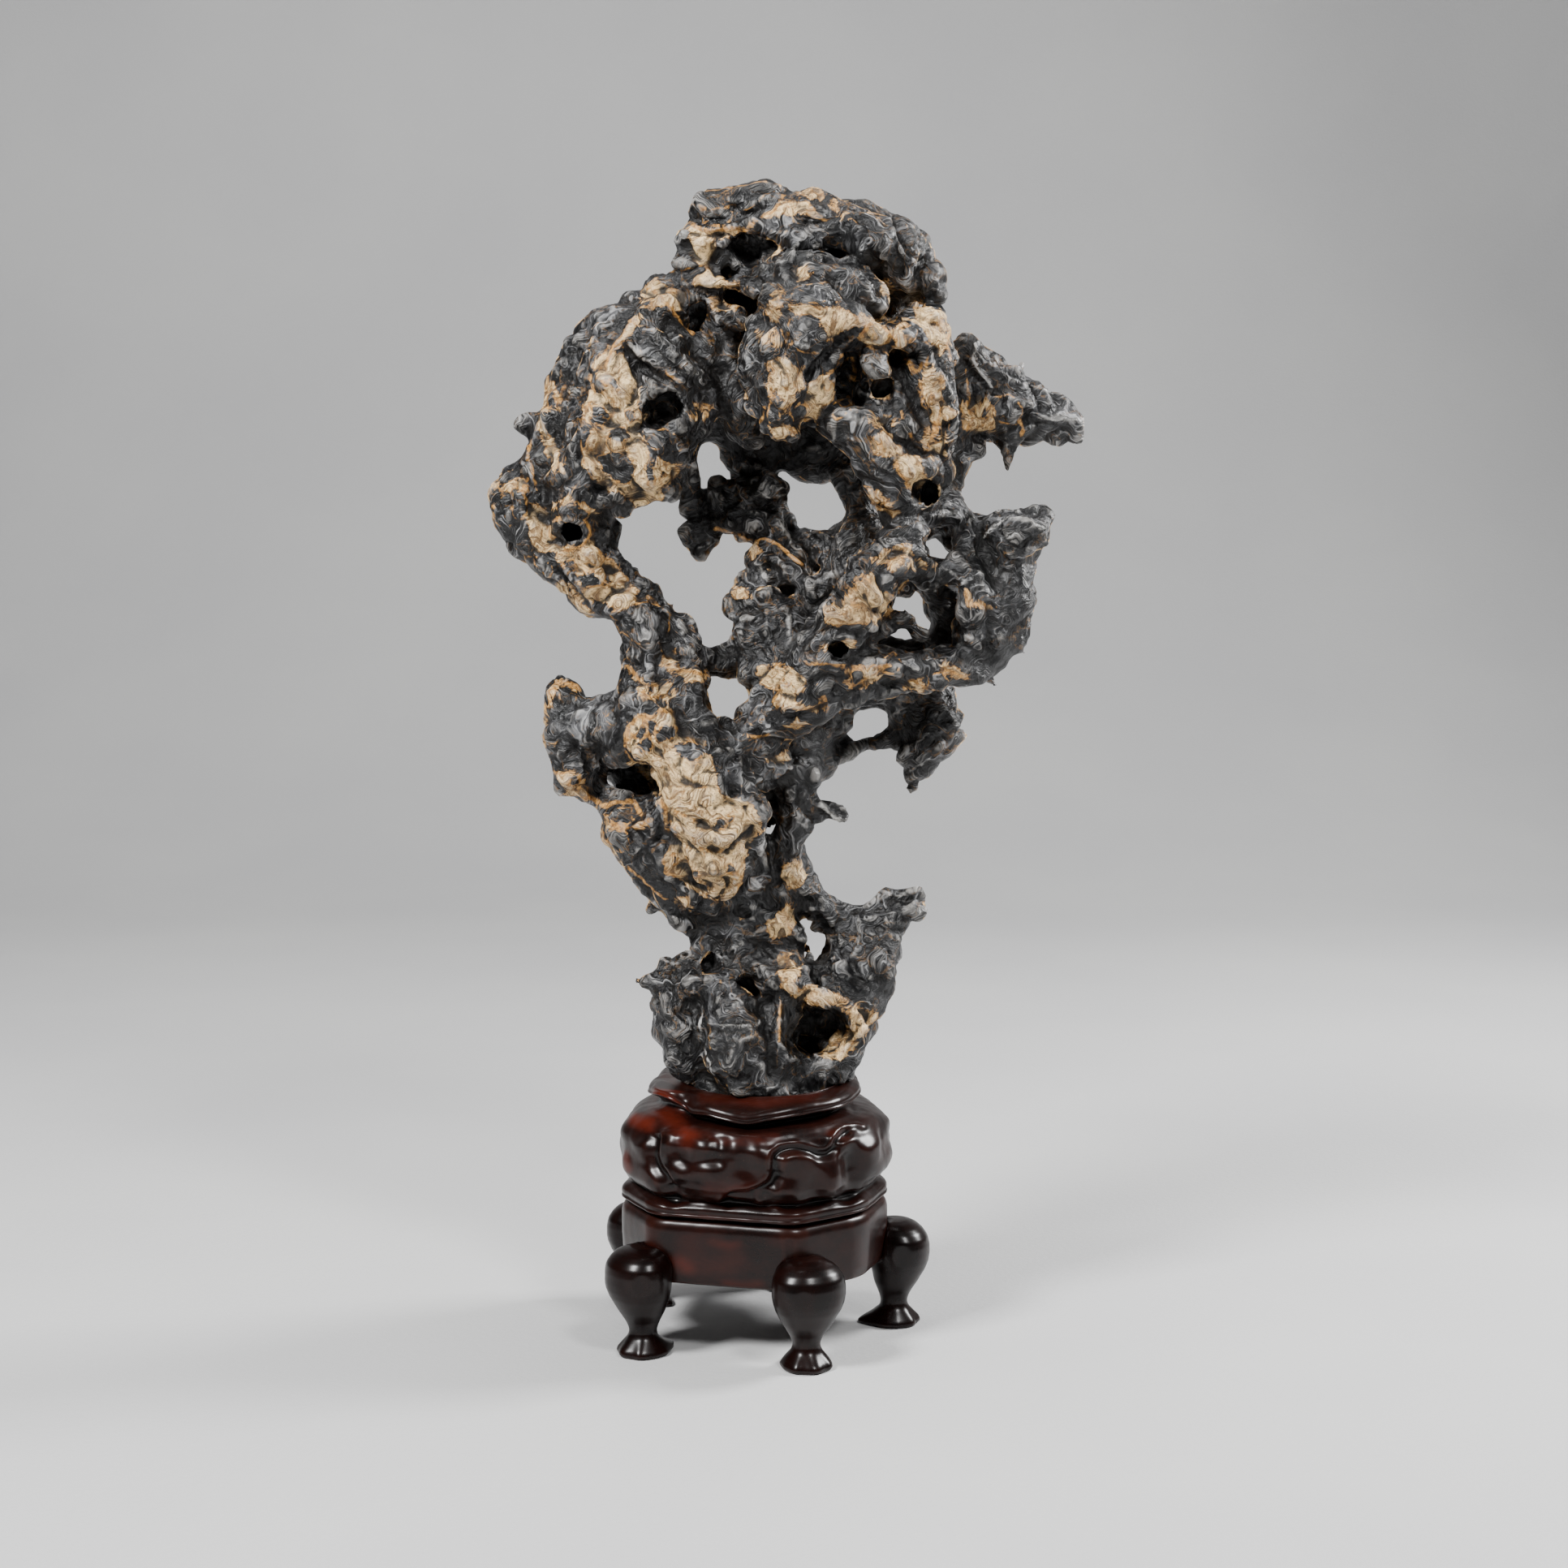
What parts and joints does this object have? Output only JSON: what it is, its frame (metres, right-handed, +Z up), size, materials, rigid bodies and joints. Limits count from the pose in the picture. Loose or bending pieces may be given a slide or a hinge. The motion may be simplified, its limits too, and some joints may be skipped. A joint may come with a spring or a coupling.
{
  "type": "scholar's rock on carved stand",
  "caption": "Tall pierced limestone scholar's rock, set upright in the socket of a carved hardwood stand with an apron and cabriole legs.",
  "frame": {"origin": "middle of the bounding box on the surface the feet stand on", "axes": "+Z up along the rock's height, -Y towards the front of the piece, +X to the right seen from the front"},
  "size_m": [0.3676, 0.2115, 0.7117],
  "materials": {
    "rock": "dark grey limestone with ochre patches and pale veins, low polish",
    "stand": "dark red-brown hardwood, waxed"
  },
  "bodies": {
    "root": {"rock": "rock", "stand_top": "stand", "stand_apron": "stand", "leg_front_left": "stand", "leg_front_right": "stand", "leg_right": "stand", "leg_back_right": "stand", "leg_back_left": "stand"}
  },
  "joints": []
}
